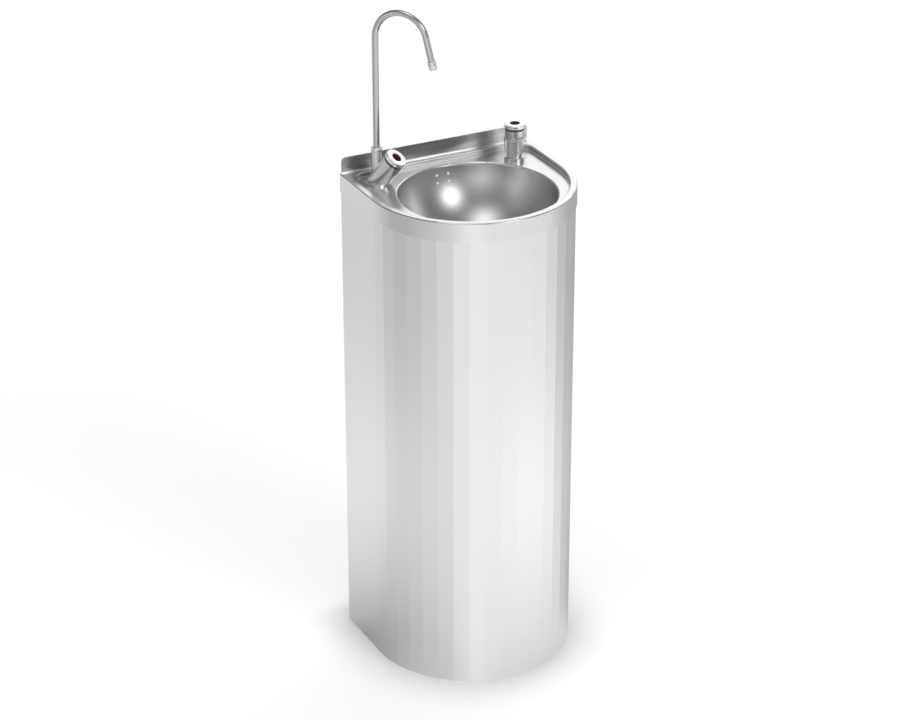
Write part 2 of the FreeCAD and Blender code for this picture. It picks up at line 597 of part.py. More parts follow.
def make_under_deck(prefix, x, y):
    """Gasket, lock nut and hose nut on a tap's tail."""
    ring(prefix + "_gasket", "tap_gasket", "tap_tail + sheet_gap", "tap_gasket_height",
         (x, y, UNDER_DECK + " - tap_gasket_height"))
    low = "(%s - tap_gasket_height - locknut_height)" % UNDER_DECK
    node(cut(hexagon("locknut_flats", "locknut_height", (x, y, low)),
             [cylinder("tap_tail + sheet_gap/3", "30", (x, y, low + " - 10"))]), prefix + "_locknut")
    end = "(%s - tap_tail_length)" % DECK
    node(cut(hexagon("hose_nut_flats", "hose_nut_height", (x, y, end + " - hose_nut_height/2")),
             [cylinder("tap_tail + sheet_gap/3", "30", (x, y, end)),
              cylinder("hose_radius + sheet_gap/3", "30", (x, y, end + " - 30"))]), prefix + "_hose_nut")


def make_bubbler():
    """Drinking tap: column with a push head, a jet nozzle and a clear mouth guard round it."""
    at = ("bubbler_x", "bubbler_y", DECK)
    facing = FreeCAD.Rotation(FreeCAD.Vector(0, 0, 1), size("guard_heading"))
    aim = facing.multiply(FreeCAD.Rotation(FreeCAD.Vector(0, 1, 0), 90 - size("nozzle_tilt")))
    jet = (at[0], at[1], DECK + " + nozzle_height")
    bore_low = "(bubbler_seat - cartridge_sink - cartridge_length - 0.2)"
    body = turned(None, [
        ("water_bore", "-tap_tail_length"), ("tap_tail", "-tap_tail_length"), ("tap_tail", "0"),
        ("foot_radius", "0"), ("foot_radius", "foot_height - 1"), ("foot_radius - 1", "foot_height"),
        ("column_radius", "foot_height"), ("column_radius", "bubbler_seat - neck_height"),
        ("neck_radius", "bubbler_seat - neck_height"), ("neck_radius", "bubbler_seat - 0.5"),
        ("neck_radius - 0.5", "bubbler_seat"), ("cartridge_radius + running_gap", "bubbler_seat"),
        ("cartridge_radius + running_gap", bore_low), ("water_bore", bore_low)], at)
    node(cut(body, [cylinder("nozzle_radius", "40", jet, aim)]), "bubbler_body")
    mouth = cut(cylinder("nozzle_radius", "nozzle_reach", jet, aim),
                [cylinder("nozzle_bore", "nozzle_reach + 1", jet, aim),
                 cylinder("cartridge_radius + 1", "60", (at[0], at[1], DECK + " + 10"))])
    node(mouth, "bubbler_nozzle")
    guard = cut(cylinder("guard_radius", "guard_height - guard_low",
                         (at[0], at[1], DECK + " + guard_low")),
                [cylinder("neck_radius + running_gap", "guard_height",
                          (at[0], at[1], DECK + " + guard_low - 5"))])
    collar = box("60", "60", "guard_height - guard_collar",
                 (at[0] + " - 30", at[1] + " - 30", DECK + " + guard_collar"))
    side = facing.multVec(FreeCAD.Vector(0, 1, 0))
    apron = box("40", "2*guard_u", "guard_height - guard_low - guard_u",
                (at[0] + " - guard_u*(%r)" % side.x, at[1] + " - guard_u*(%r)" % side.y,
                 DECK + " + guard_low + guard_u"), facing)
    curve = cylinder("guard_u", "40", (at[0], at[1], DECK + " + guard_low + guard_u"),
                     facing.multiply(TO_RIGHT))
    window = cylinder("nozzle_radius + 0.8", "60", jet, aim)
    node(cut(common([guard, fuse([collar, apron, curve])]), [window]), "bubbler_guard")
    make_head("bubbler", "bubbler_seat", at, UPRIGHT)
    make_under_deck("bubbler", at[0], at[1])


def make_filler():
    """Leaning push tap whose sleeve carries the swan neck."""
    at = ("filler_x", "filler_y", DECK)
    bore_start = "(filler_seat - cartridge_sink - cartridge_length - 0.2)"
    lean = LEAN.multVec(FreeCAD.Vector(0, 0, 1))

    def along(text):
        return tuple("%s + (%s)*(%r)" % (a, text, c) for a, c in zip(at, lean))

    barrel = cylinder("barrel_radius", "filler_seat + 25", along("-25"), LEAN)
    above = box("300", "300", "200", ("filler_x - 150", "filler_y - 150", DECK))
    sleeve = cylinder("sleeve_radius", "sleeve_top", at)
    foot = cylinder("filler_foot", "filler_foot_height", at)
    tail_end = ("filler_x", "filler_y", DECK + " - tap_tail_length")
    tail = cylinder("tap_tail", "tap_tail_length + 2", tail_end)
    solid = fuse([common([barrel, above]), sleeve, foot, tail])
    bores = [
        cylinder("cartridge_radius + running_gap", "60", along(bore_start), LEAN),
        cylinder("neck_tube + running_gap", "60", ("filler_x", "filler_y", DECK + " + sleeve_bore_start")),
        cylinder("water_bore", "tap_tail_length + 16", tail_end),
    ]
    node(cut(solid, bores), "filler_body")
    make_head("filler", "filler_seat", at, LEAN)
    make_under_deck("filler", at[0], at[1])
    make_neck(at)


def make_neck(at):
    """Swan neck tube with its collar nut, seal and outlet."""
    seat = (at[0], at[1], DECK + " + sleeve_top")
    around = "neck_tube + 2*running_gap"
    turned("neck_collar_nut", [
        (around, "seal_height + 0.1"), (around, "collar_nut_height - 0.5"),
        ("neck_tube + 0.6", "collar_nut_height"), ("collar_nut - 0.8", "collar_nut_height"),
        ("collar_nut", "collar_nut_height - 0.8"), ("collar_nut", "0"), ("seal_radius + running_gap", "0"),
        ("seal_radius + running_gap", "seal_height + 0.1")], seat)
    ring("neck_seal", "seal_radius", "neck_tube + running_gap", "seal_height", seat)
    bend = size("neck_bend")
    turn = math.radians(size("neck_turn"))
    base = FreeCAD.Vector(size("filler_x"), size("filler_y"), deck_z)
    out = FreeCAD.Vector(math.cos(heading), math.sin(heading), 0)
    up = FreeCAD.Vector(0, 0, 1)
    low = base + up * (size("sleeve_bore_start") + 1)
    high = base + up * size("neck_rise")

    def on_bend(angle):
        return high + out * (bend * (1 - math.cos(angle))) + up * (bend * math.sin(angle))

    down = out * math.sin(turn) + up * math.cos(turn)
    end = on_bend(turn) + down * size("neck_drop")
    path = Part.Wire([
        Part.LineSegment(low, high).toShape(),
        Part.Arc(high, on_bend(turn / 2), on_bend(turn)).toShape(),
        Part.LineSegment(on_bend(turn), end).toShape(),
    ])
    tube("swan_neck", path, size("neck_tube"), size("neck_bore"))
    hang = FreeCAD.Rotation(FreeCAD.Vector(-math.sin(heading), math.cos(heading), 0), size("neck_turn"))
    reach = "(neck_bend*(1 - cos(neck_turn)) + (neck_drop - outlet_lap)*sin(neck_turn))"
    rise = "(neck_rise + neck_bend*sin(neck_turn) + (neck_drop - outlet_lap)*cos(neck_turn))"
    turned("neck_outlet", [
        ("neck_tube", "0"), ("outlet_radius - 0.8", "0"), ("outlet_radius", "0.8"),
        ("outlet_radius", "outlet_length - 1"), ("outlet_radius - 1", "outlet_length"),
        ("outlet_bore", "outlet_length"), ("outlet_bore", "outlet_lap"), ("neck_tube", "outlet_lap")],
        (at[0] + " + %s*cos(filler_heading)" % reach, at[1] + " + %s*sin(filler_heading)" % reach,
         "%s + %s" % (DECK, rise)), hang)


def make_supply():
    """Stop valve at the wall, its lever, and a tee with a hose nut on each outlet."""
    middle = ("supply_x", "supply_y", "supply_height")
    front = "(supply_y - valve_length/2)"
    pipe = cylinder("supply_pipe", WALL + " - supply_y", middle, TO_WALL)
    ball = cylinder("valve_radius", "valve_length", ("supply_x", front, "supply_height"), TO_WALL)
    stub = cylinder("outlet_stub", "outlet_stub_length", middle)
    bores = [
        cylinder("lever_stem + running_gap", "30", ("supply_x", front + " - 12", "supply_height"), TO_WALL),
        cylinder("supply_pipe - 3", "60", ("supply_x", "supply_y + 6", "supply_height"), TO_WALL),
        cylinder("outlet_stub - 3", "60", ("supply_x", "supply_y", "supply_height + 14")),
    ]
    node(cut(fuse([pipe, ball, stub]), bores), "stop_valve_body")
    hub = cylinder("lever_hub", "lever_plate + 3", ("supply_x", front + " - 1", "supply_height"), TO_FRONT)
    blade = box("lever_length", "lever_plate", "lever_width",
                ("supply_x", front + " - 4 - lever_plate", "supply_height - lever_width/2"))
    tip = cylinder("lever_width/2", "lever_plate",
                   ("supply_x + lever_length", front + " - 4", "supply_height"), TO_FRONT)
    stem = cylinder("lever_stem", "15", ("supply_x", front + " - 2", "supply_height"), TO_WALL)
    node(fuse([hub, blade, tip, stem]), "stop_valve_lever")
    tee_low = "(supply_height + outlet_stub_length - tee_lap)"
    tee_top = "(%s + tee_size)" % tee_low
    tee_middle = ("supply_x", "supply_y", tee_low + " + tee_size/2")
    block = box("tee_size", "tee_size", "tee_size",
                ("supply_x - tee_size/2", "supply_y - tee_size/2", tee_low))
    top_stub = cylinder("outlet_stub", "tee_stub", ("supply_x", "supply_y", tee_top))
    side_stub = cylinder("outlet_stub", "tee_size/2 + tee_stub", tee_middle, TO_LEFT)
    over_stub = "outlet_stub + sheet_gap/3"
    over_hose = "hose_radius + sheet_gap/3"
    socket = cylinder(over_stub, "2*tee_lap", ("supply_x", "supply_y", tee_low + " - tee_lap"))
    passage = cylinder("hose_bore", "60", ("supply_x", "supply_y", tee_low))
    across = cylinder("hose_bore", "60", tee_middle, TO_LEFT)
    node(cut(fuse([block, top_stub, side_stub]), [socket, passage, across]), "supply_tee")
    top = tee_top + " + tee_stub"
    upper = hexagon("hose_nut_flats", "hose_nut_height",
                    ("supply_x", "supply_y", top + " - hose_nut_height/2"))
    node(cut(upper, [cylinder(over_stub, "30", ("supply_x", "supply_y", top + " - 30")),
                     cylinder(over_hose, "30", ("supply_x", "supply_y", top))]), "tee_top_nut")
    side = "(supply_x - tee_size/2 - tee_stub)"
    mid = tee_low + " + tee_size/2"
    beside = hexagon("hose_nut_flats", "hose_nut_height",
                     (side + " + hose_nut_height/2", "supply_y", mid), TO_LEFT)
    node(cut(beside, [cylinder(over_stub, "30", (side + " + 30", "supply_y", mid), TO_LEFT),
                      cylinder(over_hose, "30", (side, "supply_y", mid), TO_LEFT)]), "tee_side_nut")


def make_hoses():
    """Hoses held at both ends: tee to each tap, and overflow collar to the waste."""
    tee_low = size("supply_height") + size("outlet_stub_length") - size("tee_lap")
    tee_top = tee_low + size("tee_size") + size("tee_stub")
    tee_mid = tee_low + size("tee_size") / 2
    tap_end = deck_z - size("tap_tail_length")
    x, y = size("supply_x"), size("supply_y")
    bx, by = size("bubbler_x"), size("bubbler_y")
    bend = 0.35 * (tap_end - tee_top)
    tube("bubbler_hose", rounded_path([
        (x, y, tee_top), (x, y, tee_top + bend), (bx, by, tap_end - bend), (bx, by, tap_end)]),
        size("hose_radius"), size("hose_bore"))
    fx, fy = size("filler_x"), size("filler_y")
    side = x - size("tee_size") / 2 - size("tee_stub")
    span = side - fx
    tube("filler_hose", rounded_path([
        (side, y, tee_mid), (side - 0.3 * span, y, tee_mid),
        (fx + 0.12 * span, fy, tee_mid + 28), (fx, fy, tee_mid + 75), (fx, fy, tap_end)]),
        size("hose_radius"), size("hose_bore"))
    collar_y = -size("bowl_forward") + size("bowl_radius") + size("overflow_setback")
    collar_z = (deck_z - size("overflow_drop") - size("overflow_up") - size("overflow_radius")
                - size("collar_clear") - size("collar_wall") - size("overflow_stub"))
    waste_top = (deck_z - size("lip_round") - size("metal") - size("bowl_depth")
                 - size("metal") - size("gasket"))
    waste_z = waste_top - size("waste_length") / 2
    waste_y = -size("bowl_forward") + size("strainer_neck") + size("waste_stub")
    tube("overflow_hose", rounded_path([
        (0, collar_y, collar_z), (0, collar_y, waste_z + 35),
        (0, collar_y - 40, waste_z), (0, waste_y, waste_z)]),
        size("overflow_hose"), size("overflow_bore"))


make_deck()
make_bowl()
make_housing()
make_braces()
make_brace_screws()
make_base()
make_waste()
make_trap()
make_overflow()
make_bubbler()
make_filler()
make_supply()
make_hoses()
doc.recompute()

for thing in doc.Objects:
    if "Invalid" in thing.State or "Error" in thing.State:
        raise ValueError("%s (%s) did not build: %s" % (thing.Name, thing.Label, thing.State))
for thing in NODES:
    if thing.Shape.isNull() or not thing.Shape.isValid():
        raise ValueError("%s has no valid shape" % thing.Label)

os.makedirs("parts", exist_ok=True)
for thing in NODES:
    thing.Shape.exportStep("parts/%s.step" % thing.Label)
    print("%-22s %2d solids %12.1f mm3" % (thing.Label, len(thing.Shape.Solids), thing.Shape.Volume))
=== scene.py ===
import json
import math

import bpy
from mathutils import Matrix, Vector


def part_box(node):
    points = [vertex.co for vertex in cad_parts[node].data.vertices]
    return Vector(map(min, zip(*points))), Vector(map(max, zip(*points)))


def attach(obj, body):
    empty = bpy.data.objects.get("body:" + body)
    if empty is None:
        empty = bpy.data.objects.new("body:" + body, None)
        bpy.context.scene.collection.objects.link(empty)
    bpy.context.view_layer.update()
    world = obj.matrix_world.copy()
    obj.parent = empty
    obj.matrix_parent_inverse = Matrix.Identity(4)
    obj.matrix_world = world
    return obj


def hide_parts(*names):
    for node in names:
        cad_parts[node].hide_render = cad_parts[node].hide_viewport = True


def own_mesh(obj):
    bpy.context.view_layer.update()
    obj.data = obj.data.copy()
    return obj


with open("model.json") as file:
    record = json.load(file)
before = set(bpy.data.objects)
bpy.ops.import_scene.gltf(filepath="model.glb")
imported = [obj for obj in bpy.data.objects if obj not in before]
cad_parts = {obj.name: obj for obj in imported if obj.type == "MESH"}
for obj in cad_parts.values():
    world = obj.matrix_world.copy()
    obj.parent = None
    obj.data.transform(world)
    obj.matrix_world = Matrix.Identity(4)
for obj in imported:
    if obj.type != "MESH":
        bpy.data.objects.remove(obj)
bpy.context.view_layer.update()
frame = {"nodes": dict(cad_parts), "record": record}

nodes = frame["nodes"]
record = frame["record"]
mm = 0.001

# places and measures that many pieces share
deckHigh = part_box("deck_top")[1]
bowlLow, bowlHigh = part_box("bowl")
sheetThick, recessDeep = 1.5 * mm, 9 * mm
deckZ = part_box("filler_gasket")[1].z + sheetThick  # floor of the recess
rimZ = deckZ + recessDeep
noseY = deckHigh.x - deckHigh.y  # middle of the half-round front
bowlMiddle = (bowlLow + bowlHigh) / 2
joints = {joint["name"]: joint for joint in record["behaviour"]["joints"]}
leanAxis = -Vector(joints["filler_press"]["axis"])
neckFoot = Vector(joints["neck_swivel"]["pos_m"])
upright, backward = Vector((0, 0, 1)), Vector((0, 1, 0))
allWays = (1, 1, 1)
smoothAngle, bevelAngle = math.radians(32), math.radians(30)
weld = 0.002 * mm


# shader maths, written as plain expressions
class Value:
    # a number socket that can be added, multiplied and so on

    def __init__(self, maker, socket):
        self.maker, self.socket = maker, socket

    def maths(self, operation, a, b=None):
        values = {0: a} if b is None else {0: a, 1: b}
        made = self.maker.add("ShaderNodeMath", {"operation": operation}, values)
        return Value(self.maker, made.outputs[0])

    def __add__(self, other): return self.maths("ADD", self, other)
    def __sub__(self, other): return self.maths("SUBTRACT", self, other)
    def __rsub__(self, other): return self.maths("SUBTRACT", other, self)
    def __mul__(self, other): return self.maths("MULTIPLY", self, other)
    def __truediv__(self, other): return self.maths("DIVIDE", self, other)
    def __pow__(self, other): return self.maths("POWER", self, other)
    def clipped(self): return self.least(0.0).most(1.0)
    def above(self, edge, soft): return ((self - edge) / soft).clipped()
    def least(self, level): return self.maths("MAXIMUM", self, level)
    def most(self, level): return self.maths("MINIMUM", self, level)
    def sine(self): return self.maths("SINE", self)


class NodeMaker:
    # adds nodes to one tree: a type, its settings, and what its sockets hold

    def __init__(self, tree):
        self.tree = tree

    def add(self, kind, settings=None, values=None):
        made = self.tree.nodes.new(kind)
        for name, value in (settings or {}).items():
            if name == "stops":
                while len(made.color_ramp.elements) < len(value):
                    made.color_ramp.elements.new(0.5)
                for element, (place, level) in zip(made.color_ramp.elements, value):
                    element.position, element.color = place, grey(level)
            else:
                setattr(made, name, value)
        for key, value in (values or {}).items():
            self.join(value, made.inputs[key])
        return made

    def join(self, value, socket):
        if isinstance(value, Value):
            self.tree.links.new(value.socket, socket)
        elif isinstance(value, bpy.types.NodeSocket):
            self.tree.links.new(value, socket)
        else:
            socket.default_value = value

    def blend(self, amount, first, second):
        values = {"Factor": amount, "A": first, "B": second}
        mixed = self.add("ShaderNodeMix", {"data_type": "RGBA"}, values)
        return mixed.outputs["Result"]


class Finish(NodeMaker):
    # one procedural material

    def __init__(self, name, **fixed):
        self.material = bpy.data.materials.new(name)
        self.material.use_nodes = True
        super().__init__(self.material.node_tree)
        self.shader = self.tree.nodes["Principled BSDF"]
        for socket, value in fixed.items():
            self.shader.inputs[socket.replace("_", " ")].default_value = value

    def spot(self):
        return self.add("ShaderNodeTexCoord").outputs["Object"]

    def axes(self, middle=(0, 0, 0)):
        values = {"Vector": self.spot(), "Location": [-c for c in middle]}
        moved = self.add("ShaderNodeMapping", None, values)
        split = self.add("ShaderNodeSeparateXYZ", None, {0: moved.outputs[0]})
        return [Value(self, split.outputs[k]) for k in range(3)]

    def where(self, scale, turn):
        values = {"Vector": self.spot(), "Scale": scale, "Rotation": turn}
        return self.add("ShaderNodeMapping", None, values).outputs[0]

    def noise(self, scale=allWays, size=1.0, detail=2.0, turn=(0, 0, 0)):
        values = {"Vector": self.where(scale, turn), "Scale": size, "Detail": detail}
        return Value(self, self.add("ShaderNodeTexNoise", None, values).outputs[0])

    def dents(self, height, distance, strength):
        values = {"Height": height, "Distance": distance, "Strength": strength}
        bump = self.add("ShaderNodeBump", None, values)
        self.join(bump.outputs[0], self.shader.inputs["Normal"])

    def feed(self, **links):
        for socket, value in links.items():
            self.join(value, self.shader.inputs[socket.replace("_", " ")])


def grey(level):
    return (level, level, level, 1)


# steel sheet: tone and roughness of each pressed or folded piece
steelLooks = {
    "cabinet": {"tone": 0.80, "roughness": 0.36, "along": "z", "grain": 0.55, "cloud": 0.25, "wipe": 0.10},
    "deck": {"tone": 0.76, "roughness": 0.24, "along": "x", "grain": 0.30, "cloud": 0.20, "wipe": 0.12},
    "bowl": {"tone": 0.60, "roughness": 0.29, "along": "z", "grain": 0.12, "cloud": 0.15, "wipe": 0.08},
    "brace": {"tone": 0.60, "roughness": 0.42, "along": "x", "grain": 0.6, "cloud": 0.6, "wipe": 0.5},
    "toneSpread": 0.2, "grainDepth": 0.000004,
}
# scales of the sheet's noises, and how much lines, speckle, clouds and wipes weigh in each map
sheetNoise = {
    "acrossLines": 1800.0, "alongLines": 22.0, "lineDetail": 3.0, "speckle": 1500.0, "clouds": 7.0,
    "wipes": 3.0, "wipeScale": (5, 5, 2.2), "wipeTurn": (0.3, 0.1, 0.6),
    "lineShade": 0.20, "speckleShade": 0.16, "cloudShade": 0.12,
    "lineRough": 0.14, "wipeRough": 0.30, "cloudRough": 0.10,
    "lineDent": 0.6, "speckleDent": 0.4, "dent": 0.3,
}


def sheetShade(steel, look):
    # fine lines along one axis, faint speckle, soft clouding and wiping marks
    part = sheetNoise
    stretch = [part["acrossLines"]] * 3
    stretch["xyz".index(look["along"])] = part["alongLines"]
    lines = steel.noise(stretch, 1.0, part["lineDetail"]) - 0.5
    speckle = steel.noise(allWays, part["speckle"], 1.0) - 0.5
    clouds = steel.noise(allWays, part["clouds"], 3.0) - 0.5
    wipes = steel.noise(part["wipeScale"], part["wipes"], 4.0, part["wipeTurn"]) - 0.5
    shade = lines * (part["lineShade"] * look["grain"]) + speckle * (part["speckleShade"] * look["grain"])
    shade = shade + clouds * (part["cloudShade"] * look["cloud"])
    rough = lines * (part["lineRough"] * look["grain"]) + wipes * (part["wipeRough"] * look["wipe"])
    rough = rough + clouds * (part["cloudRough"] * look["cloud"]) + look["roughness"]
    height = lines * part["lineDent"] + speckle * part["speckleDent"]
    steel.dents(height, steelLooks["grainDepth"], part["dent"] * look["grain"])
    return shade, rough


def shaded(steel, shade, tone):
    # a grey that goes a little under and over its tone
    spread = steelLooks["toneSpread"]
    return steel.blend((shade + 0.5).clipped(), grey(tone - spread), grey(tone + spread))


def brushedSteel(name, look):
    steel = Finish(name, Metallic=1.0)
    shade, rough = sheetShade(steel, look)
    steel.feed(Base_Color=shaded(steel, shade, look["tone"]), Roughness=rough.clipped())
    return steel.material


# where the upstand and the recess wall begin and end, in mm, and how they look: both are painted darker than
# the deck as painted shade, and the upstand has a painted sweep of reflection along it
deckZones = {
    "upstandOver": 1.2, "upstandEdge": 1.5, "upstandDeep": 2.2, "upstandFace": 0.5,
    "wallInset": 9, "wallSide": 1, "wallFoot": 0.7, "wallFootEdge": 0.6, "wallHead": 2.4, "wallHeadEdge": 1.2,
    # the upstand's tone is painted shade, darker than the deck's own steel, and the sweep is a painted
    # reflection along it
    "upstandShadedTone": 0.42, "upstandDark": 0.2, "upstandLight": 0.26, "upstandRough": 0.08,
    "streakScale": (9, 1, 90), "streaks": 0.9, "paintedSweepPitch": 11.0, "paintedSweepStart": 0.3, "paintedSweep": 0.3,
    # the recess wall's tone is painted shade, darker than the deck's own steel
    "wallShadedTone": 0.50, "wallRough": 0.06,
}


def pressedTop(name, look):
    # the upstand is brushed along its length, painted darker than the flats as painted shade, and swept by a
    # broad painted reflection; the drawn wall of the recess is duller than the flats and painted darker as
    # painted shade
    steel = Finish(name, Metallic=1.0)
    zone = deckZones
    shade, rough = sheetShade(steel, look)
    x, y, z = steel.axes()
    over = z.above(rimZ + zone["upstandOver"] * mm, zone["upstandEdge"] * mm)
    plate = over * y.above(deckHigh.y - zone["upstandDeep"] * mm, zone["upstandFace"] * mm)
    ahead = (y - noseY).most(0.0)
    away = (x * x + ahead * ahead) ** 0.5
    inside = 1.0 - away.above(deckHigh.x - zone["wallInset"] * mm, zone["wallSide"] * mm)
    foot = z.above(deckZ + zone["wallFoot"] * mm, zone["wallFootEdge"] * mm)
    head = z.above(rimZ - zone["wallHead"] * mm, zone["wallHeadEdge"] * mm)
    # mask of the recess wall, which is painted darker as painted shade and made rougher
    drawnWallShadeAndDull = foot * (1.0 - head) * inside
    streaks = steel.noise(zone["streakScale"], 1.0, 3.0) - 0.5
    # painted reflection: a broad sine of lighter and darker tone along the upstand
    paintedSweep = (x * zone["paintedSweepPitch"] - zone["paintedSweepStart"]).sine() * zone["paintedSweep"]
    # the upstand's grey is painted shade, darker than the flats; its streaks are real brushing
    dark = zone["upstandShadedTone"]
    brushedAndShaded = steel.blend((streaks * zone["streaks"] + paintedSweep + shade + 0.5).clipped(),
                          grey(dark - zone["upstandDark"]), grey(dark + zone["upstandLight"]))
    # the recess wall is painted darker than the flats as painted shade
    sheet = steel.blend(drawnWallShadeAndDull, shaded(steel, shade, look["tone"]), grey(zone["wallShadedTone"]))
    rough = rough + plate * zone["upstandRough"] + drawnWallShadeAndDull * zone["wallRough"]
    steel.feed(Base_Color=steel.blend(plate, sheet, brushedAndShaded), Roughness=rough.clipped())
    return steel.material


spinning = {"ringsOut": 900.0, "ringsUp": 700.0, "clouds": 11.0, "speckle": 1400.0, "ringShade": 0.05,
            "speckleShade": 0.05, "cloudShade": 0.3, "ringRough": 0.05, "cloudRough": 0.4, "dent": 0.12}


def dishedSteel(name, look):
    # spun bowl: the faint rings of the tool round its axis instead of straight lines
    steel = Finish(name, Metallic=1.0)
    x, y, z = steel.axes(bowlMiddle)
    away = (x * x + y * y) ** 0.5
    winding = away * spinning["ringsOut"] + z * spinning["ringsUp"]
    rings = steel.add("ShaderNodeTexNoise", {"noise_dimensions": "1D"},
                      {"W": winding, "Scale": 1.0, "Detail": 2.0})
    rings = Value(steel, rings.outputs[0]) - 0.5
    clouds = steel.noise(allWays, spinning["clouds"], 3.0) - 0.5
    speckle = steel.noise(allWays, spinning["speckle"], 1.0) - 0.5
    shade = rings * spinning["ringShade"] + speckle * spinning["speckleShade"]
    shade = shade + clouds * (spinning["cloudShade"] * look["cloud"])
    rough = rings * spinning["ringRough"] + clouds * (spinning["cloudRough"] * look["wipe"])
    rough = rough + look["roughness"]
    steel.feed(Base_Color=shaded(steel, shade, look["tone"]), Roughness=rough.clipped())
    steel.dents(rings, steelLooks["grainDepth"], spinning["dent"])
    return steel.material


# taps and fittings
fittingLooks = {
    "satin": {"tone": 0.74, "roughness": 0.26}, "cap": {"tone": 0.96, "roughness": 0.20},
    "neck": {"tone": 0.56, "roughness": 0.17}, "ringBlue": (0.055, 0.085, 0.17),
}
plating = {"markScale": (420, 420, 60), "spotSize": 160.0, "spotsOver": 0.66, "spotEdge": 9.0,
           "markRough": 0.05, "spotRough": 0.06, "spotShade": 0.2, "markShade": 0.2, "shade": 0.1,
           "darker": 0.15, "depth": 0.000003, "dent": 0.25}


def platedChrome(name, look):
    # plating with very fine polishing marks and a few dried water spots
    chrome = Finish(name, Metallic=1.0)
    marks = chrome.noise(plating["markScale"], 1.0, 2.0)
    spots = chrome.noise(allWays, plating["spotSize"], 1.0)
    dry = ((spots - plating["spotsOver"]) * plating["spotEdge"]).clipped()
    rough = (marks - 0.5) * plating["markRough"] + dry * plating["spotRough"] + look["roughness"]
    shade = dry * plating["spotShade"] + (marks - 0.5) * plating["markShade"] + plating["shade"]
    tone = look["tone"]
    chrome.feed(Roughness=rough, Base_Color=chrome.blend(shade, grey(tone), grey(tone - plating["darker"])))
    chrome.dents(marks, plating["depth"], plating["dent"])
    return chrome.material


moulding = {"patches": 35.0, "grain": 900.0, "patchShare": 0.8, "grainShare": 0.2, "darker": 3, "lift": 0.01,
            "patchRough": 0.2, "depth": 0.00003, "dent": 0.25}


def mouldedPlastic(name, colour, roughness, mottle=0.06):
    # moulded plastic or rubber with a faint grain and slightly uneven colour
    plastic = Finish(name)
    patches = plastic.noise(allWays, moulding["patches"], 3.0)
    grain = plastic.noise(allWays, moulding["grain"], 2.0)
    darker = tuple(c * (1 - moulding["darker"] * mottle) for c in colour) + (1,)
    lighter = tuple(min(1, c * (1 + mottle) + moulding["lift"]) for c in colour) + (1,)
    mixture = patches * moulding["patchShare"] + grain * moulding["grainShare"]
    plastic.feed(Base_Color=plastic.blend(mixture.clipped(), darker, lighter),
                 Roughness=(patches - 0.5) * moulding["patchRough"] + roughness)
    plastic.dents(grain, moulding["depth"], moulding["dent"])
    return plastic.material


# white insert: its emission is a painted glow, and the insert is no lamp
insertLook = {"paintedGlow": 0.32, "roughness": 0.35, "clouds": 600.0, "tones": (0.86, 0.93),
              "paintedGlowTones": (0.85, 1.0), "depth": 0.00002, "dent": 0.2}


def whiteWithPaintedGlow(name):
    # thin white moulding with a painted glow: a faint emission, so it never looks dark
    insert = Finish(name, Emission_Strength=insertLook["paintedGlow"], Roughness=insertLook["roughness"])
    cloudy = insert.noise(allWays, insertLook["clouds"], 2.0)
    insert.feed(Base_Color=insert.blend(cloudy, *map(grey, insertLook["tones"])),
                Emission_Color=insert.blend(cloudy, *map(grey, insertLook["paintedGlowTones"])))
    insert.dents(cloudy, insertLook["depth"], insertLook["dent"])
    return insert.material


dotLook = {"dark": (0.018, 0.004, 0.006, 1), "red": (0.075, 0.006, 0.008, 1), "shine": 0.02, "grain": 420.0,
           "contrast": 2.2, "grainRough": 0.2, "roughness": 0.45, "depth": 0.00002, "dent": 0.3}


def enamelDot(name):
    # dark red enamel with a fine uneven depth
    enamel = Finish(name, Specular_IOR_Level=dotLook["shine"])
    depth = enamel.noise(allWays, dotLook["grain"], 2.0)
    uneven = ((depth - 0.5) * dotLook["contrast"] + 0.5).clipped()
    enamel.feed(Base_Color=enamel.blend(uneven, dotLook["dark"], dotLook["red"]),
                Roughness=(depth - 0.5) * dotLook["grainRough"] + dotLook["roughness"])
    enamel.dents(depth, dotLook["depth"], dotLook["dent"])
    return enamel.material


brassLook = {"bright": (0.80, 0.58, 0.25, 1), "dull": (0.52, 0.36, 0.15, 1), "ringScale": (60, 60, 1500),
             "tarnish": 60.0, "contrast": 3.0, "stained": 0.4, "ringRough": 0.2, "stainRough": 0.12,
             "roughness": 0.22, "depth": 0.00002, "dent": 0.4}


def machinedBrass(name):
    # turning rings and a little tarnish
    brass = Finish(name, Metallic=1.0)
    rings = brass.noise(brassLook["ringScale"], 1.0, 2.0)
    tarnish = brass.noise(allWays, brassLook["tarnish"], 4.0)
    stain = ((tarnish - 0.5) * brassLook["contrast"] + brassLook["stained"]).clipped()
    rough = (rings - 0.5) * brassLook["ringRough"] + stain * brassLook["stainRough"] + brassLook["roughness"]
    brass.feed(Base_Color=brass.blend(stain, brassLook["bright"], brassLook["dull"]), Roughness=rough)
    brass.dents(rings, brassLook["depth"], brassLook["dent"])
    return brass.material


guardLook = {"clear": 0.8, "ior": 1.45, "colour": (0.97, 0.98, 0.99, 1), "scratchScale": (500, 500, 60),
             "scratchTurn": (0.4, 0.2, 0), "scratchesOver": 0.58, "scratchRough": 0.4, "roughness": 0.01}


def clearPolycarbonate(name):
    # clear moulded guard, slightly cool, with fine wiping scratches
    clear = Finish(name, Transmission_Weight=guardLook["clear"], IOR=guardLook["ior"],
                   Base_Color=guardLook["colour"])
    scratches = clear.noise(guardLook["scratchScale"], 1.0, 2.0, guardLook["scratchTurn"])
    worn = ((scratches - guardLook["scratchesOver"]) * guardLook["scratchRough"]).clipped()
    clear.feed(Roughness=worn + guardLook["roughness"])
    return clear.material


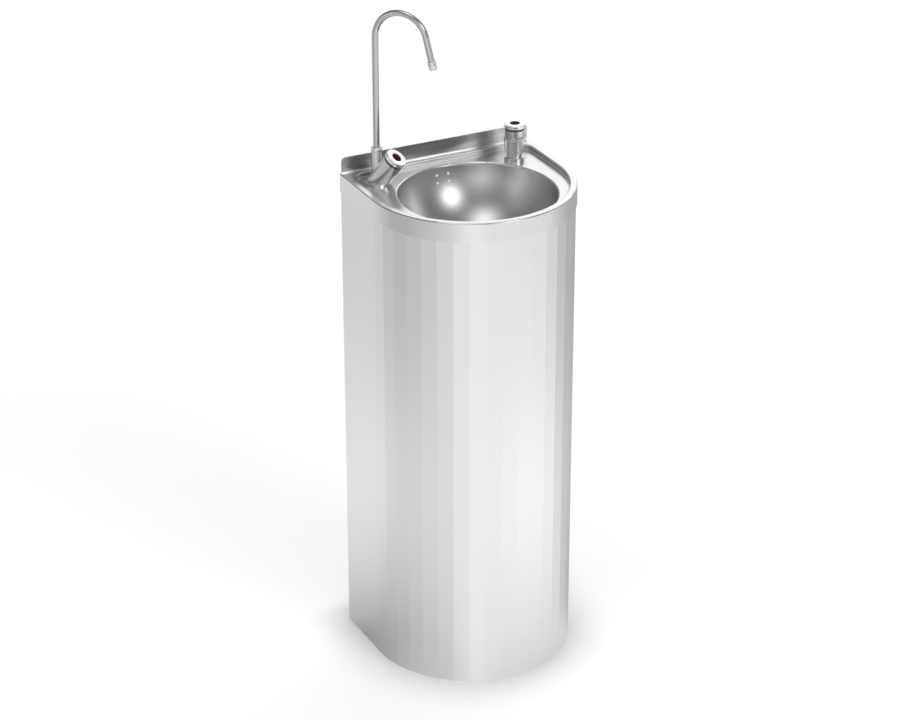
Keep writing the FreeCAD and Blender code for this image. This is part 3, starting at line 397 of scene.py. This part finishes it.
braidLook = {"metallic": 0.85, "slant": 0.8, "pitch": 2600.0, "gap": (0.08, 0.08, 0.09, 1),
             "wire": (0.74, 0.74, 0.75, 1), "roughness": 0.5, "wireSmooth": 0.2, "depth": 0.0004, "dent": 0.6}


def braidedHose(name):
    # two crossing sets of fine wires round the hose
    braid = Finish(name, Metallic=braidLook["metallic"])
    x, y, z = braid.axes()
    slant, pitch = braidLook["slant"], braidLook["pitch"]
    one = ((z + x * slant + y * slant) * pitch).sine() * 0.5 + 0.5
    two = ((z - x * slant - y * slant) * pitch).sine() * 0.5 + 0.5
    weave = one.least(two)
    braid.feed(Base_Color=braid.blend(weave ** 2.0, braidLook["gap"], braidLook["wire"]),
               Roughness=braidLook["roughness"] - weave * braidLook["wireSmooth"])
    braid.dents(weave, braidLook["depth"], braidLook["dent"])
    return braid.material


print("materials")
finishes = {
    "cabinet_steel": brushedSteel("cabinetSteel", steelLooks["cabinet"]),
    "pressed_steel": pressedTop("pressedSteel", steelLooks["deck"]),
    "bowl_steel": dishedSteel("bowlSteel", steelLooks["bowl"]),
    "screw_steel": brushedSteel("screwSteel", steelLooks["brace"]),
    "neck_steel": platedChrome("neckSteel", fittingLooks["neck"]),
    "chrome": platedChrome("tapChrome", fittingLooks["satin"]),
    "brass": machinedBrass("valveBrass"),
    "black_rubber": mouldedPlastic("blackRubber", (0.02, 0.02, 0.02), 0.6),
    "white_plastic": mouldedPlastic("whitePlastic", (0.82, 0.82, 0.80), 0.35, 0.03),
    "grey_hose": mouldedPlastic("greyHose", (0.45, 0.45, 0.46), 0.45),
    "clear_guard": clearPolycarbonate("clearGuard"),
    "trim_ring": mouldedPlastic("trimRing", fittingLooks["ringBlue"], 0.25),
    "index_dot": enamelDot("indexDot"),
    "lever_paint": mouldedPlastic("leverPaint", (0.45, 0.02, 0.02), 0.3),
    "braided_hose": braidedHose("braidedHose"),
}
capChrome = platedChrome("capChrome", fittingLooks["cap"])
# white insert material with a painted glow
insertWhitePaintedGlow = whiteWithPaintedGlow("insertWhitePaintedGlow")

slotOf = {part["node"]: part["material_slot"] for part in record["subparts"]}
for name in nodes:
    mesh = nodes[name].data
    mesh.materials.clear()
    mesh.materials.append(finishes[slotOf[name]])


# modelling by hand: a circle is drawn out loop by loop, eased, and put in its place
def drawOut(profile, sides, solid):
    bpy.ops.object.select_all(action="DESELECT")
    radius, level = profile[0]
    bpy.ops.mesh.primitive_circle_add(vertices=sides, radius=radius, location=(0, 0, level),
                                      fill_type="NGON" if solid else "NOTHING")
    bpy.ops.object.mode_set(mode="EDIT")
    bpy.ops.mesh.select_mode(type="VERT")
    bpy.ops.mesh.select_all(action="SELECT")
    for (radius, level), (nextRadius, nextLevel) in zip(profile, profile[1:]):
        bpy.ops.mesh.extrude_region_move(TRANSFORM_OT_translate={"value": (0, 0, nextLevel - level)})
        grow = nextRadius / radius
        bpy.ops.transform.resize(value=(grow, grow, 1), center_override=(0, 0, 0))
    bpy.ops.mesh.select_all(action="SELECT")
    bpy.ops.mesh.remove_doubles(threshold=weld)
    bpy.ops.mesh.normals_make_consistent(inside=False)
    bpy.ops.object.mode_set(mode="OBJECT")
    bpy.ops.object.transform_apply(location=True, rotation=True, scale=True)
    return bpy.context.object


def inMetres(profile):
    return [(radius * mm, level * mm) for radius, level in profile]


def ease(piece, width, segments=3):
    bevel = piece.modifiers.new("eased", "BEVEL")
    bevel.width, bevel.segments, bevel.limit_method = width, segments, "ANGLE"
    bevel.angle_limit = bevelAngle
    bpy.ops.object.modifier_apply(modifier=bevel.name)


def settle(piece, name, at, along=upright):
    # turns the piece's own Z along a direction, moves it, and puts its place in its mesh
    piece.name = name
    piece.rotation_euler = upright.rotation_difference(along).to_euler()
    piece.location = at
    bpy.ops.object.transform_apply(location=True, rotation=True, scale=True)
    bpy.ops.object.shade_smooth_by_angle(angle=smoothAngle)


def belong(piece, body, slot, look, *stands):
    piece.data.materials.clear()
    piece.data.materials.append(look)
    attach(piece, body)
    if stands:
        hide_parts(*stands)


def turnPiece(name, profile, at, along, body, slot, look, stands=(), sides=72, solid=False, soft=0.08):
    piece = drawOut(inMetres(profile), sides, solid)
    ease(piece, soft * mm)
    settle(piece, name, at, along)
    belong(piece, body, slot, look, *stands)
    return piece


print("bowl")
bowl = {"radius": 134, "depth": 117, "wall": 1.5, "flange": 8, "recess": 31, "drain": 21.5, "bend": 1.2,
        "innerBend": 0.8, "rimBend": 0.3, "corner": 0.35, "step": 1.0, "stepCorner": 0.3, "sides": 160,
        "rings": 44, "holeRadius": 2.3, "holeAcross": 22, "holeUp": 13, "holeDrop": 16, "holeSides": 28,
        "punchBack": 20, "punchLength": 60}
# radius of the sphere that the dish is part of
bowlSphere = (bowl["radius"] ** 2 + bowl["depth"] ** 2) / (2 * bowl["depth"])


def makeBowl():
    lift = bowlSphere - bowl["depth"]  # height of the sphere's middle over the mouth
    floor, wall, recess = -bowl["depth"], bowl["wall"], bowl["recess"]
    bend, corner, mouth, drain = bowl["bend"], bowl["corner"], bowl["radius"], bowl["drain"]

    def dish(radius, start, end):
        first, last, count = math.asin(start / radius), math.asin(end / radius), bowl["rings"]
        turns = [first + (last - first) * k / count for k in range(count + 1)]
        return [(radius * math.sin(t), lift - radius * math.cos(t)) for t in turns]

    inner = dish(bowlSphere, recess + bend, mouth)
    outer = dish(bowlSphere + wall, recess + wall + bowl["innerBend"], mouth + wall)[::-1]
    step = inner[0][1]
    profile = [(drain, floor), (recess - bend, floor), (recess - corner, floor + corner)]
    profile += [(recess, floor + bend)]
    profile += [(recess, step - bowl["step"]), (recess + corner, step - bowl["stepCorner"])] + inner
    profile += [(mouth + bowl["flange"], 0), (mouth + bowl["flange"], -wall)]
    profile += [(mouth + wall + bowl["rimBend"], -wall)] + outer[1:]
    profile += [(recess + wall, floor - wall), (drain, floor - wall), (drain, floor)]
    piece = drawOut(inMetres(profile), bowl["sides"], False)
    settle(piece, "spunBowl", (bowlMiddle.x, bowlMiddle.y, bowlHigh.z))
    for side in (-1, 1):
        for row in (0, 1):
            place = (side * bowl["holeAcross"] / 2 * mm, bowlHigh.y - bowl["punchBack"] * mm,
                     deckZ - (bowl["holeDrop"] + row * bowl["holeUp"]) * mm)
            bpy.ops.object.select_all(action="DESELECT")
            bpy.ops.mesh.primitive_cylinder_add(
                vertices=bowl["holeSides"], radius=bowl["holeRadius"] * mm, depth=bowl["punchLength"] * mm,
                location=place, rotation=(math.pi / 2, 0, 0))
            punch = bpy.context.object
            bpy.context.view_layer.objects.active = piece
            hole = piece.modifiers.new("hole", "BOOLEAN")
            hole.object, hole.operation, hole.solver = punch, "DIFFERENCE", "EXACT"
            bpy.ops.object.modifier_apply(modifier=hole.name)
            bpy.data.objects.remove(punch)
            makeGrommet(place, side, row)
    bpy.ops.object.select_all(action="DESELECT")
    piece.select_set(True)
    bpy.context.view_layer.objects.active = piece
    bpy.ops.object.shade_smooth_by_angle(angle=smoothAngle)
    belong(piece, "fountain", "bowl_steel", finishes["bowl_steel"], "bowl")


grommet = {"outer": 2.25, "bore": 0.5, "length": 6, "sink": 0.05, "lip": 0.5, "lipRise": 0.1, "edge": 0.3,
           "sides": 24, "soft": 0.05}


def makeGrommet(place, side, row):
    # white insert that lines one overflow hole, flush with the dish
    sphere = bowlSphere * mm
    middleZ = bowlHigh.z - bowl["depth"] * mm + sphere
    reach = math.sqrt(sphere ** 2 - (place[2] - middleZ) ** 2 - place[0] ** 2)
    start = Vector((place[0], bowlMiddle.y + reach + grommet["sink"] * mm, place[2]))
    outer, bore, length, lip, edge = (grommet[key] for key in ("outer", "bore", "length", "lip", "edge"))
    profile = [(bore, lip), (bore + lip, grommet["lipRise"]), (outer - edge, 0), (outer, edge)]
    profile += [(outer, length), (bore, length), (bore, lip)]
    name = "overflowGrommet%s%d" % ("Left" if side < 0 else "Right", row)
    turnPiece(name, profile, start, backward, "fountain", "white_plastic", insertWhitePaintedGlow,
              sides=grommet["sides"], soft=grommet["soft"])


makeBowl()

print("push heads")
# profiles are (radius, height) in mm, from the top of the cap; rise is that top over the head's foot
pushHead = {
    "rise": 63.5, "capSides": 96, "dotSides": 72, "dotSoft": 0.05,
    "cap": [(0.3, -0.8), (8.7, -0.8), (8.7, -0.05), (8.85, 0), (17.0, 0), (17.75, -0.12), (18.25, -0.45),
            (18.47, -1.0), (18.5, -1.4), (18.5, -4.4), (18.25, -4.55), (18.25, -4.95), (18.5, -5.1),
            (18.5, -6.5), (17.3, -6.5), (17.3, -2.5), (3, -2.5), (3, -22), (0.3, -22)],
    "dot": [(8.6, -0.8), (8.6, -0.2), (8.3, 0.0), (7.1, 0.12), (4.785, 0.22), (2.175, 0.28), (0.3, 0.3)],
    "trim": [(14, -10.5), (16.4, -10.5), (17, -10.0), (17, -9.2), (16.75, -9.0), (16.75, -8.7), (17, -8.5),
             (17, -7.1), (16.6, -6.7), (14, -6.7), (14, -10.5)],
}


def makeHead(prefix, top, along, body):
    turnPiece(prefix + "Cap", pushHead["cap"], top, along, body, "chrome", capChrome, [prefix + "_button"],
              pushHead["capSides"], True)
    turnPiece(prefix + "Dot", pushHead["dot"], top, along, body, "index_dot", finishes["index_dot"],
              [prefix + "_index_dot"], pushHead["dotSides"], True, pushHead["dotSoft"])
    turnPiece(prefix + "TrimRing", pushHead["trim"], top, along, "fountain", "trim_ring",
              finishes["trim_ring"], [prefix + "_trim_ring"], pushHead["capSides"])


buttonLow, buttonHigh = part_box("bubbler_button")
bubblerTop = Vector(((buttonLow.x + buttonHigh.x) / 2, (buttonLow.y + buttonHigh.y) / 2, buttonHigh.z))
fillerTop = Vector((neckFoot.x, neckFoot.y, deckZ)) + leanAxis * (pushHead["rise"] * mm)
makeHead("bubbler", bubblerTop, upright, "bubbler_push")
makeHead("filler", fillerTop, leanAxis, "filler_push")

print("springs")
# start is how far the coil's foot lies under the top of its cap
spring = {"radius": 6, "wire": 0.6, "wireSides": 10, "turns": 4, "steps": 28, "rise": 8.6, "start": 12.4,
          "pressed": 0.64}


def makeSpring(prefix, top, along):
    # round wire wound up round the head's axis
    bpy.ops.object.select_all(action="DESELECT")
    bpy.ops.mesh.primitive_circle_add(vertices=spring["wireSides"], radius=spring["wire"] * mm,
                                      location=(spring["radius"] * mm, 0, spring["wire"] * mm),
                                      rotation=(math.pi / 2, 0, 0))
    bpy.ops.object.transform_apply(location=True, rotation=True, scale=True)
    piece = bpy.context.object
    wound = piece.modifiers.new("wound", "SCREW")
    wound.angle, wound.iterations = 2 * math.pi, spring["turns"]
    wound.screw_offset = spring["rise"] / spring["turns"] * mm
    wound.steps = wound.render_steps = spring["steps"]
    bpy.ops.object.modifier_apply(modifier=wound.name)
    bpy.ops.object.mode_set(mode="EDIT")
    bpy.ops.mesh.select_all(action="SELECT")
    bpy.ops.mesh.remove_doubles(threshold=weld)
    bpy.ops.mesh.fill_holes(sides=0)
    bpy.ops.mesh.select_all(action="SELECT")
    bpy.ops.mesh.normals_make_consistent(inside=False)
    bpy.ops.object.mode_set(mode="OBJECT")
    foot = top - along * (spring["start"] * mm)
    stands = prefix + "_spring"
    settle(piece, prefix + "Coil", foot, along)
    belong(piece, "fountain", slotOf[stands], finishes[slotOf[stands]], stands)
    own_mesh(piece)


makeSpring("bubbler", bubblerTop, upright)
makeSpring("filler", fillerTop, leanAxis)

print("neck fittings")
# turn is how far the neck's arch goes round before its outlet, in degrees; profiles as above, from the foot
neckTrim = {
    "turn": 166, "tipSides": 56, "collarSides": 64, "length": 15,
    "tip": [(5.52, 0), (6.2, 0), (6.8, 0.3), (7, 0.9), (7, 3.6), (6.65, 3.8), (6.65, 4.5), (7, 4.7),
            (7, 12.6), (6.7, 13.2), (6.7, 14.2), (6.0, 15), (4.6, 15), (4.2, 14.4), (3.5, 14.1), (3.5, 8),
            (5.52, 8), (5.52, 0)],
    "collar": [(7.65, 0), (8.95, 0), (9.25, 0.4), (9.25, 1.6), (8.95, 1.8), (8.95, 2.2), (9.25, 2.4),
               (9.25, 7.6), (8.95, 8.4), (8.25, 9), (6.1, 9), (5.6, 8.5), (5.6, 2.6), (7.65, 2.6), (7.65, 0)],
}


def makeNeckTrim():
    low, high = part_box("neck_outlet")
    turn = math.radians(neckTrim["turn"])
    flat = Vector((leanAxis.x, leanAxis.y, 0)).normalized()
    down = flat * math.sin(turn) + upright * math.cos(turn)
    start = (low + high) / 2 - down * (neckTrim["length"] / 2 * mm)
    turnPiece("neckTip", neckTrim["tip"], start, down, "spout", "chrome", finishes["chrome"], ["neck_outlet"],
              neckTrim["tipSides"])
    low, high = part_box("neck_collar_nut")
    start = ((low.x + high.x) / 2, (low.y + high.y) / 2, low.z)
    turnPiece("neckCollar", neckTrim["collar"], start, upright, "fountain", "chrome", finishes["chrome"],
              ["neck_collar_nut"], neckTrim["collarSides"])


makeNeckTrim()

print("trap nuts")
# ribs are faces of the rim that lie over ribInset and between ribLow and ribHigh
trapNuts = {
    "ribs": 28, "ribHeight": 0.9, "ribInset": 22.8, "ribLow": 3, "ribHigh": 14, "soft": 0.2, "back": 1,
    "profile": [(19.1, 1), (23.1, 1), (23.1, 2.2), (23.1, 14.8), (23.1, 16), (16.3, 20), (16.3, 16),
                (19.1, 14), (19.1, 1)],
}


def makeTrapNut(name, stands, at, along):
    # compression nut with moulded grip ribs: every other face of its rim is raised
    piece = drawOut(inMetres(trapNuts["profile"]), 2 * trapNuts["ribs"], False)
    bpy.ops.object.mode_set(mode="EDIT")
    bpy.ops.mesh.select_mode(type="FACE")
    bpy.ops.mesh.select_all(action="DESELECT")
    bpy.ops.object.mode_set(mode="OBJECT")
    pitch = math.pi / trapNuts["ribs"]
    for face in piece.data.polygons:
        middle = face.center / mm
        onRim = Vector((middle.x, middle.y)).length > trapNuts["ribInset"]
        onRim = onRim and trapNuts["ribLow"] < middle.z < trapNuts["ribHigh"]
        face.select = onRim and int(math.atan2(middle.y, middle.x) // pitch) % 2 == 0
    bpy.ops.object.mode_set(mode="EDIT")
    raised = {"value": trapNuts["ribHeight"] * mm}
    bpy.ops.mesh.extrude_region_shrink_fatten(TRANSFORM_OT_shrink_fatten=raised)
    bpy.ops.object.mode_set(mode="OBJECT")
    ease(piece, trapNuts["soft"] * mm, 2)
    settle(piece, name, at, along)
    belong(piece, "fountain", "white_plastic", finishes["white_plastic"], stands)


low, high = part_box("trap_inlet_nut")
middle, back = (low + high) / 2, trapNuts["back"] * mm
makeTrapNut("trapInletNut", "trap_inlet_nut", (middle.x, middle.y, low.z - back), upright)
low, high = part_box("trap_outlet_nut")
middle = (low + high) / 2
makeTrapNut("trapOutletNut", "trap_outlet_nut", (middle.x, low.y - back, middle.z), backward)

print("studio")
# floor, light and camera
studio = {
    "floorHalf": 60.0, "dust": 3.0, "dustTone": 0.01, "floorRough": 0.9,
    "cameraPlace": (-2.0179, -3.8985, 2.6979), "azimuth": -27.0, "elevation": 26.07,
    "lens": 111.457, "sensor": 36, "clipEnd": 200,
    "floorWhite": 0.43, "contactShade": 0.30, "contactReach": 0.11, "contactFall": 2.0, "behindWall": 3.0,
    "mirroredReach": 0.16, "mirroredDim": 0.2, "floorShade": 0.9, "mirroredShade": 0.6,
    "skyBase": 0.20, "skyHorizon": 0.42, "horizonFall": 5.0,
    # heading and height in degrees, tightness, strength
    "lights": [(-70, 32, 52, 4.7), (-148, 74, 24, 2.2), (44, 27, 7, 1.38), (-121, 10, 14, 0.85),
               (177, 12, 14, 0.75)],
    # how bright the floor looks in the steel, far off and near, by heading: 0 is -180 degrees and 1 is 180
    "floorGleam": [(0.0, 0.16), (0.025, 0.22), (0.075, 0.33), (0.125, 0.44), (0.18, 0.74), (0.225, 0.60),
                   (0.325, 0.55), (0.425, 0.53), (0.47, 0.30), (0.525, 0.10), (0.625, 0.04), (0.75, 0.36),
                   (0.825, 0.44), (0.88, 0.30), (0.925, 0.11), (0.975, 0.13)],
    "nearByHeading": [(0.0, 0.80), (0.06, 0.70), (0.13, 0.28), (0.22, 0.37), (0.33, 0.90), (0.44, 0.85),
                      (0.52, 0.40), (0.8, 0.35), (0.9, 0.95)],
    "nearGleam": 0.9, "nearReach": 1.7, "nearFrom": 0.3, "nearOver": 0.6,
}


def makeFloor():
    bpy.ops.object.select_all(action="DESELECT")
    bpy.ops.mesh.primitive_plane_add(size=2 * studio["floorHalf"], location=(0, 0, 0))
    floor = bpy.context.object
    floor.name = "studioFloor"
    paint = Finish("floorPaint", Roughness=studio["floorRough"], Emission_Strength=1.0)
    dust = paint.noise(allWays, studio["dust"], 3.0)
    shade, uneven = studio["floorShade"], studio["dustTone"]
    ray = paint.add("ShaderNodeLightPath").outputs
    painted = paint.blend(dust, grey(shade - uneven), grey(shade + uneven))
    glossy = Value(paint, ray["Is Glossy Ray"])
    paint.feed(Base_Color=paint.blend(glossy, painted, grey(studio["mirroredShade"])))
    seen = Value(paint, ray["Is Camera Ray"]) + Value(paint, ray["Is Transmission Ray"])
    heading = paint.add("ShaderNodeTexGradient", {"gradient_type": "RADIAL"}, {"Vector": paint.spot()})

    def byHeading(stops):
        return paint.add("ShaderNodeValToRGB", {"stops": stops}, {"Fac": heading.outputs["Fac"]}).outputs[0]

    x, y, z = paint.axes()
    away = (x * x + y * y) ** 0.5
    reach = (1.0 - away / studio["nearReach"]).clipped()
    near = away.above(studio["nearFrom"], studio["nearOver"]) * reach * studio["nearGleam"]
    # painted soft shade on the floor, close round the footprint
    beyond = (y - noseY).most(0.0) + (y - deckHigh.y).least(0.0) * studio["behindWall"]
    gap = (x * x + beyond * beyond) ** 0.5 - deckHigh.x
    contact = (1.0 - (gap / studio["contactReach"]).clipped()) ** studio["contactFall"]
    white = studio["floorWhite"] - contact * studio["contactShade"]
    # painted shade in the floor as the steel mirrors it, dimmer close round the footprint
    dim = 1.0 - (1.0 - (gap / studio["mirroredReach"]).clipped()) * studio["mirroredDim"]
    mirrored = (near * byHeading(studio["nearByHeading"]) + byHeading(studio["floorGleam"])) * dim * glossy
    paint.feed(Emission_Color=paint.blend(seen.clipped(), mirrored, white))
    floor.data.materials.append(paint.material)


def makeWorld():
    world = bpy.data.worlds.new("studioWorld")
    bpy.context.scene.world = world
    world.use_nodes = True
    sky = NodeMaker(world.node_tree)
    direction = sky.add("ShaderNodeTexCoord").outputs["Generated"]
    height = Value(sky, sky.add("ShaderNodeSeparateXYZ", None, {0: direction}).outputs["Z"])
    level = (1.0 - height.maths("ABSOLUTE", height)) ** studio["horizonFall"] * studio["skyHorizon"]
    level += studio["skyBase"]
    for heading, rise, tightness, strength in studio["lights"]:
        heading, rise = math.radians(heading), math.radians(rise)
        axis = (math.cos(heading) * math.cos(rise), math.sin(heading) * math.cos(rise), math.sin(rise))
        dot = sky.add("ShaderNodeVectorMath", {"operation": "DOT_PRODUCT"}, {0: direction, 1: axis})
        level += Value(sky, dot.outputs["Value"]).clipped() ** tightness * strength
    ray = Value(sky, sky.add("ShaderNodeLightPath").outputs["Is Camera Ray"])
    sky.join(ray.maths("MAXIMUM", ray, level), world.node_tree.nodes["Background"].inputs["Color"])


def makeCamera():
    azimuth, elevation = math.radians(studio["azimuth"]), math.radians(studio["elevation"])
    level = math.cos(elevation)
    back = Vector((math.sin(azimuth) * level, -math.cos(azimuth) * level, math.sin(elevation)))
    lens = bpy.data.cameras.new("camera")
    lens.lens, lens.sensor_width, lens.clip_end = studio["lens"], studio["sensor"], studio["clipEnd"]
    camera = bpy.data.objects.new("camera", lens)
    bpy.context.scene.collection.objects.link(camera)
    camera.location = studio["cameraPlace"]
    camera.rotation_euler = (-back).to_track_quat("-Z", "Y").to_euler()
    bpy.context.scene.camera = camera


makeFloor()
makeWorld()
makeCamera()
bpy.context.scene.view_settings.view_transform = "Standard"
